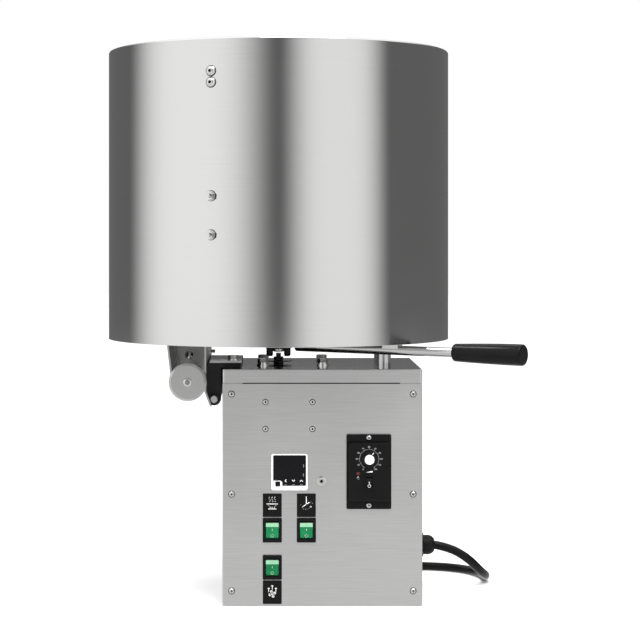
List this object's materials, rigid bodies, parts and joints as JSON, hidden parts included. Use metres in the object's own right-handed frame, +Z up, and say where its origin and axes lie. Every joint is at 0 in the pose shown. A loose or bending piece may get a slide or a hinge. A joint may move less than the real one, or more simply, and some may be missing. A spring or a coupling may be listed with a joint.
{
  "type": "nut roasting machine",
  "caption": "Countertop nut roaster: open steel drum with heated bowl and agitator, hinged to tip on a control cabinet, with lift handle, thermostat, switches and speed dial.",
  "frame": {"origin": "centre of the cabinet's base, on the surface it stands on", "axes": "+Z up, +X to the operator's right, +Y away from the operator"},
  "size_m": [0.558, 0.526, 0.748],
  "materials": {
    "brushed_sheet": "horizontal grain",
    "drum_steel": "fine grain, satin",
    "bowl_steel": "satin",
    "bracket_steel": "satin",
    "zinc_fasteners": "bright plated",
    "chrome_parts": "polished",
    "black_steel": "black, semi-gloss",
    "pin_steel": "turned",
    "grip_plastic": "gloss black",
    "black_plastic": "moulded",
    "white_plastic": "moulded",
    "window": "smoked gloss",
    "green_rocker": "translucent green",
    "lamp_red": "unlit lamp lens",
    "motor_cast": "grey paint on castings",
    "capacitor_can": "mill finish",
    "insulation": "mineral wool",
    "guard_wire": "plated wire",
    "cord_rubber": "gloss black sheath"
  },
  "bodies": {
    "cabinet": {"cabinet_body": "brushed_sheet", "top_cover": "brushed_sheet", "front_panel": "brushed_sheet", "rear_panel": "brushed_sheet", "panel_screws": "zinc_fasteners", "socket_screws": "zinc_fasteners", "gearbox": "motor_cast", "motor": "motor_cast", "motor_capacitor": "capacitor_can", "power_relay": "black_plastic", "solid_state_relay": "capacitor_can", "terminal_block": "black_plastic", "hex_bolts": "zinc_fasteners", "hinge_bracket": "black_steel", "hinge_clamps": "bracket_steel", "hinge_pin": "pin_steel", "support_posts": "chrome_parts", "fan_frame": "black_plastic", "fan_guard": "guard_wire", "switch_housings": "black_plastic", "label_plates": "black_plastic", "thermostat_bezel": "white_plastic", "thermostat_window": "window", "thermostat_body": "black_plastic", "speed_control_case": "black_plastic", "speed_control_lamp": "lamp_red", "mini_switch_housing": "black_plastic", "cable_gland": "black_plastic", "power_cord": "cord_rubber", "power_cord_coil": "cord_rubber", "power_cord_tail": "cord_rubber", "power_plug": "cord_rubber"},
    "drum": {"drum_shell": "drum_steel", "drum_base_plate": "brushed_sheet", "kettle_bowl": "bowl_steel", "insulation": "insulation", "heater_plate": "capacitor_can", "agitator_bearing": "pin_steel", "wall_fasteners": "zinc_fasteners", "wall_baffle": "drum_steel", "tilt_bracket": "bracket_steel", "stop_roller": "pin_steel", "bracket_fasteners": "zinc_fasteners", "handle_rod": "chrome_parts", "handle_saddles": "bracket_steel", "handle_grip": "grip_plastic"},
    "agitator": {"agitator": "bowl_steel", "agitator_coupling": "black_steel"},
    "output_shaft": {"output_shaft": "black_steel"},
    "speed_knob": {"speed_knob": "grip_plastic"},
    "heat_rocker": {"heat_rocker": "green_rocker"},
    "mixer_rocker": {"mixer_rocker": "green_rocker"},
    "fan_rocker": {"fan_rocker": "green_rocker"},
    "mini_rocker": {"mini_rocker": "black_plastic"},
    "fan_rotor": {"fan_rotor": "black_plastic"},
    "set_key": {"set_key": "black_plastic"},
    "shift_key": {"shift_key": "window"},
    "down_key": {"down_key": "window"},
    "up_key": {"up_key": "window"}
  },
  "joints": [
    {"name": "drum_tilt", "type": "hinge", "parent": "cabinet", "child": "drum", "pos_m": [-0.1454, 0, 0.274], "axis": [0, -1, 0], "range_deg": [0, 100]},
    {"name": "agitator_spin", "type": "hinge", "parent": "drum", "child": "agitator", "pos_m": [-0.0585, 0, 0.39], "axis": [0, 0, 1], "continuous": true},
    {"name": "output_shaft_spin", "type": "hinge", "parent": "cabinet", "child": "output_shaft", "pos_m": [-0.0585, 0, 0.31], "axis": [0, 0, 1], "continuous": true},
    {"name": "speed_knob_turn", "type": "hinge", "parent": "cabinet", "child": "speed_knob", "pos_m": [0.0619, -0.13, 0.1976], "axis": [0, 1, 0], "range_deg": [-185, 115]},
    {"name": "fan_spin", "type": "hinge", "parent": "cabinet", "child": "fan_rotor", "pos_m": [0.06, 0.1, 0.09], "axis": [0, 1, 0], "continuous": true},
    {"name": "heat_rocker_tilt", "type": "hinge", "parent": "cabinet", "child": "heat_rocker", "pos_m": [-0.0668, -0.11505, 0.1016], "axis": [-1, 0, 0], "range_deg": [0, 20]},
    {"name": "mixer_rocker_tilt", "type": "hinge", "parent": "cabinet", "child": "mixer_rocker", "pos_m": [-0.0214, -0.11505, 0.1016], "axis": [-1, 0, 0], "range_deg": [0, 20]},
    {"name": "fan_rocker_tilt", "type": "hinge", "parent": "cabinet", "child": "fan_rocker", "pos_m": [-0.0668, -0.11505, 0.052], "axis": [-1, 0, 0], "range_deg": [0, 20]},
    {"name": "mini_rocker_tilt", "type": "hinge", "parent": "cabinet", "child": "mini_rocker", "pos_m": [0.062, -0.1267, 0.1663], "axis": [-1, 0, 0], "range_deg": [0, 20]},
    {"name": "set_key_press", "type": "slide", "parent": "cabinet", "child": "set_key", "axis": [0, 1, 0], "range_m": [0, 0.0008], "stiffness_N_per_m": 400, "springref_m": -0.001},
    {"name": "shift_key_press", "type": "slide", "parent": "cabinet", "child": "shift_key", "axis": [0, 1, 0], "range_m": [0, 0.0008], "stiffness_N_per_m": 400, "springref_m": -0.001},
    {"name": "down_key_press", "type": "slide", "parent": "cabinet", "child": "down_key", "axis": [0, 1, 0], "range_m": [0, 0.0008], "stiffness_N_per_m": 400, "springref_m": -0.001},
    {"name": "up_key_press", "type": "slide", "parent": "cabinet", "child": "up_key", "axis": [0, 1, 0], "range_m": [0, 0.0008], "stiffness_N_per_m": 400, "springref_m": -0.001}
  ],
  "couplings": [
    {"joint": "output_shaft_spin", "follows": "agitator_spin", "ratio": 1}
  ]
}
